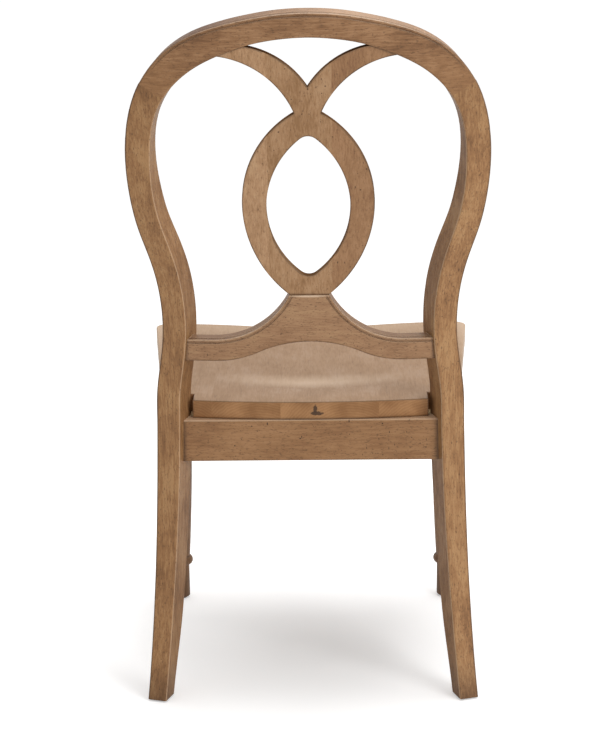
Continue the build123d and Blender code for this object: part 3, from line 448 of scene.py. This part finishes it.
def mottled(name, size, tones, dullness, metallic):
    """Finish whose colour, dullness and height wander together over cells of a size."""
    finish = bpy.data.materials.new(name)
    finish.use_nodes = True
    tree = finish.node_tree
    spot = add(tree, "TexCoord", {}, "Object")
    stretched = add(tree, "VectorMath", {0: spot, 1: size}, operation="MULTIPLY")
    mottle = add(tree, "TexNoise", {"Vector": stretched, "Scale": 1.0, "Detail": 3.0}, "Fac")
    colour = add(tree, "Mix", {0: mottle, 6: linear(tones[0]), 7: linear(tones[1])}, 2, data_type="RGBA")
    roughness = add(tree, "MapRange", {0: mottle, 1: 0.3, 2: 0.7, 3: dullness[0], 4: dullness[1]})
    bump = add(tree, "Bump", {"Height": mottle, "Distance": 0.0002, "Strength": 0.5})
    shader = tree.nodes["Principled BSDF"]
    for source, socket in ((colour, "Base Color"), (roughness, "Roughness"), (bump, "Normal")):
        tree.links.new(source, shader.inputs[socket])
    shader.inputs["Metallic"].default_value = metallic
    return finish


zinc_cells = cells(ZINC_GRAIN, ZINC_GRAIN, ZINC_GRAIN)
zinc = mottled("zinc_plated_steel", zinc_cells, ZINC_TONES, dullness=(0.3, 0.5), metallic=1.0)
dress(zinc, "corner_block_screws", "seat_screws")


# Glides: moulded nylon discs with a pin, pressed up into the feet. The floor has scuffed them, which
# gives a dull dark surface with fine streaks.
NYLON_TONES = ("#241c17", "#3a3029")
SCUFF_WIDTH, SCUFF_LENGTH = 0.8, 5.0
scuff_cells = along_grain("Y", SCUFF_WIDTH, SCUFF_LENGTH)
nylon = mottled("dark_nylon", scuff_cells, NYLON_TONES, dullness=(0.5, 0.7), metallic=0.0)
dress(nylon, *[f"{corner}_glide" for corner in CORNERS])


# Floor: a wide sheet of pale paper under the chair, dull and even. What the eye sees of it is lifted to
# white away from the chair, which leaves the shadow on it.
FLOOR_HALF = 40.0
FLOOR_TONE = "#f2f2f2"
WHITE = (1.0, 1.0, 1.0, 1.0)
NEAR_LIFT, FAR_LIFT = 0.18, 0.55
NEAR_REACH, FAR_REACH = 0.05, 0.5


def seen_by_eye(tree):
    """Share that is one for rays that show the background, direct, mirrored or through glass."""
    path = add(tree, "LightPath", {}).node.outputs
    share = path["Is Camera Ray"]
    for ray in ("Is Glossy Ray", "Is Transmission Ray"):
        share = add(tree, "Math", {0: share, 1: path[ray]}, operation="MAXIMUM")
    return share


floor_mesh = bpy.data.meshes.new("floor")
floor_corners = [(x * FLOOR_HALF, y * FLOOR_HALF, 0) for x, y in ((-1, -1), (1, -1), (1, 1), (-1, 1))]
floor_mesh.from_pydata(floor_corners, [], [(0, 1, 2, 3)])
floor = bpy.data.objects.new("floor", floor_mesh)
bpy.context.scene.collection.objects.link(floor)
paper = bpy.data.materials.new("pale_paper")
paper.use_nodes = True
tree = paper.node_tree
shader = tree.nodes["Principled BSDF"]
shader.inputs["Base Color"].default_value = linear(FLOOR_TONE)
shader.inputs["Roughness"].default_value = 1.0
shader.inputs["Specular IOR Level"].default_value = 0.0
shader.inputs["Emission Color"].default_value = WHITE
spot = add(tree, "TexCoord", {}, "Object")
spread = add(tree, "VectorMath", {0: spot}, "Value", operation="LENGTH")
# The glow is weaker near the chair, which adds painted shade to the floor around the shadow.
lift = add(tree, "MapRange", {0: spread, 1: NEAR_REACH, 2: FAR_REACH, 3: NEAR_LIFT, 4: FAR_LIFT})
glow = add(tree, "Math", {0: seen_by_eye(tree), 1: lift}, operation="MULTIPLY")
tree.links.new(glow, shader.inputs["Emission Strength"])
floor_mesh.materials.append(paper)


# Light: a large soft lamp overhead, a larger one behind the chair's back and high on the right, and a room
# all round that lights the chair softly and is itself seen as white.
LAMP_AIM = Vector((0.0, 0.1, 0.6))
ROOM_LIGHT = 0.55
world = bpy.data.worlds.new("white_room")
world.use_nodes = True
tree = world.node_tree
room = tree.nodes["Background"]
room.inputs["Color"].default_value = WHITE
room_strength = add(tree, "MapRange", {0: seen_by_eye(tree), 3: ROOM_LIGHT, 4: 1.0})
tree.links.new(room_strength, room.inputs["Strength"])
bpy.context.scene.world = world


def soft_lamp(name, place, size, watts):
    """Round lamp that is turned to the chair."""
    lamp = bpy.data.lights.new(name, "AREA")
    lamp.shape, lamp.size, lamp.energy = "DISK", size, watts
    holder = bpy.data.objects.new(name, lamp)
    holder.location = place
    holder.rotation_euler = (LAMP_AIM - Vector(place)).to_track_quat("-Z", "Y").to_euler()
    bpy.context.scene.collection.objects.link(holder)


soft_lamp("overhead_lamp", place=(-0.3, -0.3, 2.9), size=1.6, watts=36)
soft_lamp("right_lamp", place=(-2.3, 2.5, 2.0), size=1.8, watts=52)


# Camera: behind the chair and a little above its top, looking slightly down, as the photograph does. Its
# place, turn and focal length were solved from the chair's posts, feet and seat. The sensor's width spans
# the longer side of the picture, which is its height.
IMAGE_HEIGHT = 733
FOCAL_PIXELS = 1918.0
SENSOR_WIDTH = 36.0
CAMERA_PLACE = (-0.012, 2.858, 1.143)
HEADING, DOWN_TILT, ROLL = radians(180.565), radians(13.443), radians(-0.62)
lens = bpy.data.cameras.new("camera")
lens.sensor_width = SENSOR_WIDTH
lens.lens = FOCAL_PIXELS / IMAGE_HEIGHT * SENSOR_WIDTH
camera = bpy.data.objects.new("camera", lens)
turned = Matrix.Rotation(HEADING, 4, "Z") @ Matrix.Rotation(pi / 2 - DOWN_TILT, 4, "X")
camera.matrix_world = Matrix.Translation(CAMERA_PLACE) @ turned @ Matrix.Rotation(ROLL, 4, "Z")
bpy.context.scene.collection.objects.link(camera)
bpy.context.scene.camera = camera
bpy.context.scene.view_settings.view_transform = "Standard"
